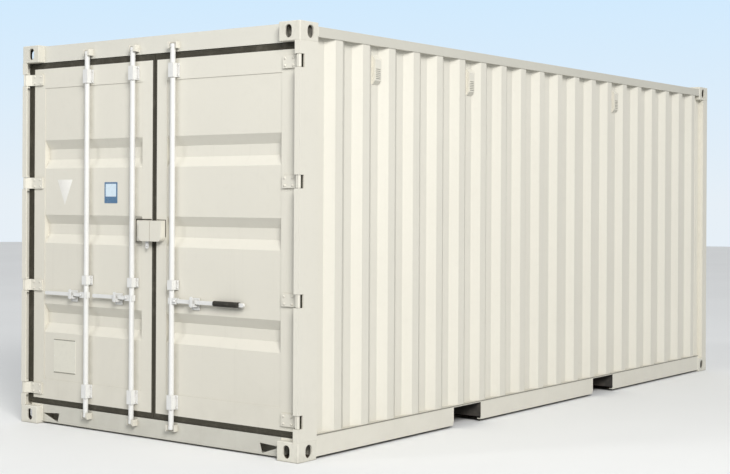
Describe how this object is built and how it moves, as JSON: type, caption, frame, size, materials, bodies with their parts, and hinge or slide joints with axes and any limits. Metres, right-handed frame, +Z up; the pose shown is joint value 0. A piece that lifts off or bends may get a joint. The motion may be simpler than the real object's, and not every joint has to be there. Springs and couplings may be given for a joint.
{
  "type": "shipping container",
  "caption": "Dry freight container with corrugated steel walls, corner castings, fork pockets and two hinged end doors with lock rods and swinging handles.",
  "frame": {"origin": "middle of the base, at the height of the bottom castings' feet", "axes": "+X across the container towards the right-hand side seen from the doors, +Y along it towards the blind end, +Z up"},
  "size_m": [2.438, 6.058, 2.591],
  "materials": {
    "frame_paint": "semi-gloss, chalked",
    "wall_paint": "semi-gloss, chalked",
    "door_paint": "semi-gloss, chalked",
    "casting_paint": "chipped paint over cast steel",
    "underframe_paint": "dull bitumen coat",
    "galvanised": "dull zinc, light paint overspray",
    "door_rubber": "matt black",
    "grip_rubber": "matt black",
    "plywood": "worn plywood"
  },
  "bodies": {
    "frame": {"blind_end_bottom_castings": "casting_paint", "blind_end_bottom_rail": "frame_paint", "blind_end_posts": "frame_paint", "blind_end_top_castings": "casting_paint", "blind_end_top_rail": "frame_paint", "blind_end_wall": "wall_paint", "cam_keepers": "door_paint", "cross_members": "underframe_paint", "door_end_bottom_castings": "casting_paint", "door_end_top_castings": "casting_paint", "door_header": "frame_paint", "door_sill": "frame_paint", "floor": "plywood", "fork_pockets": "underframe_paint", "hinge_lugs": "frame_paint", "left_bottom_rail": "frame_paint", "left_door_post": "frame_paint", "left_side_wall": "wall_paint", "right_bottom_rail": "frame_paint", "right_door_post": "frame_paint", "right_side_wall": "wall_paint", "roof": "wall_paint", "roof_end_plates": "wall_paint", "side_vents": "wall_paint", "sill_end_plates": "frame_paint", "top_side_rails": "frame_paint"},
    "left_door": {"left_door_frame": "door_paint", "left_door_gasket": "door_rubber", "left_door_handle_retainers": "galvanised", "left_door_hinges": "door_paint", "left_door_panel": "door_paint", "left_door_rod_guides": "galvanised", "left_lock_box": "door_paint"},
    "right_door": {"right_door_frame": "door_paint", "right_door_gasket": "door_rubber", "right_door_handle_retainers": "galvanised", "right_door_hinges": "door_paint", "right_door_panel": "door_paint", "right_door_rod_guides": "galvanised", "right_lock_box": "door_paint"},
    "outer_left_rod": {"outer_left_lock_rod": "galvanised"},
    "outer_left_handle": {"outer_left_handle": "galvanised"},
    "outer_left_catch": {"outer_left_handle_catch": "galvanised"},
    "inner_left_rod": {"inner_left_lock_rod": "galvanised"},
    "inner_left_handle": {"inner_left_handle": "galvanised"},
    "inner_left_catch": {"inner_left_handle_catch": "galvanised"},
    "inner_right_rod": {"inner_right_lock_rod": "galvanised"},
    "inner_right_handle": {"inner_right_handle": "galvanised", "handle_grip": "grip_rubber"},
    "inner_right_catch": {"inner_right_handle_catch": "galvanised"}
  },
  "joints": [
    {"name": "left_door_swing", "type": "hinge", "parent": "frame", "child": "left_door", "pos_m": [-1.207, -3.017, 1.3], "axis": [0, 0, -1], "range_deg": [0, 265]},
    {"name": "right_door_swing", "type": "hinge", "parent": "frame", "child": "right_door", "pos_m": [1.207, -3.017, 1.3], "axis": [0, 0, 1], "range_deg": [0, 265]},
    {"name": "outer_left_rod_turn", "type": "hinge", "parent": "left_door", "child": "outer_left_rod", "pos_m": [-0.6, -3.005, 0.9], "axis": [0, 0, -1], "range_deg": [-110, 0]},
    {"name": "outer_left_handle_lift", "type": "hinge", "parent": "outer_left_rod", "child": "outer_left_handle", "pos_m": [-0.636, -3.005, 0.9], "axis": [0, -1, 0], "range_deg": [-25, 0]},
    {"name": "outer_left_catch_swing", "type": "hinge", "parent": "left_door", "child": "outer_left_catch", "pos_m": [-0.735, -3.026, 0.878], "axis": [0, -1, 0], "range_deg": [-95, 0]},
    {"name": "inner_left_rod_turn", "type": "hinge", "parent": "left_door", "child": "inner_left_rod", "pos_m": [-0.175, -3.005, 0.9], "axis": [0, 0, -1], "range_deg": [-110, 0]},
    {"name": "inner_left_handle_lift", "type": "hinge", "parent": "inner_left_rod", "child": "inner_left_handle", "pos_m": [-0.211, -3.005, 0.9], "axis": [0, -1, 0], "range_deg": [-25, 0]},
    {"name": "inner_left_catch_swing", "type": "hinge", "parent": "left_door", "child": "inner_left_catch", "pos_m": [-0.312, -3.026, 0.878], "axis": [0, -1, 0], "range_deg": [-95, 0]},
    {"name": "inner_right_rod_turn", "type": "hinge", "parent": "right_door", "child": "inner_right_rod", "pos_m": [0.18, -3.005, 0.9], "axis": [0, 0, 1], "range_deg": [-110, 0]},
    {"name": "inner_right_handle_lift", "type": "hinge", "parent": "inner_right_rod", "child": "inner_right_handle", "pos_m": [0.216, -3.005, 0.9], "axis": [0, 1, 0], "range_deg": [-25, 0]},
    {"name": "inner_right_catch_swing", "type": "hinge", "parent": "right_door", "child": "inner_right_catch", "pos_m": [0.365, -3.026, 0.878], "axis": [0, 1, 0], "range_deg": [-95, 0]}
  ]
}
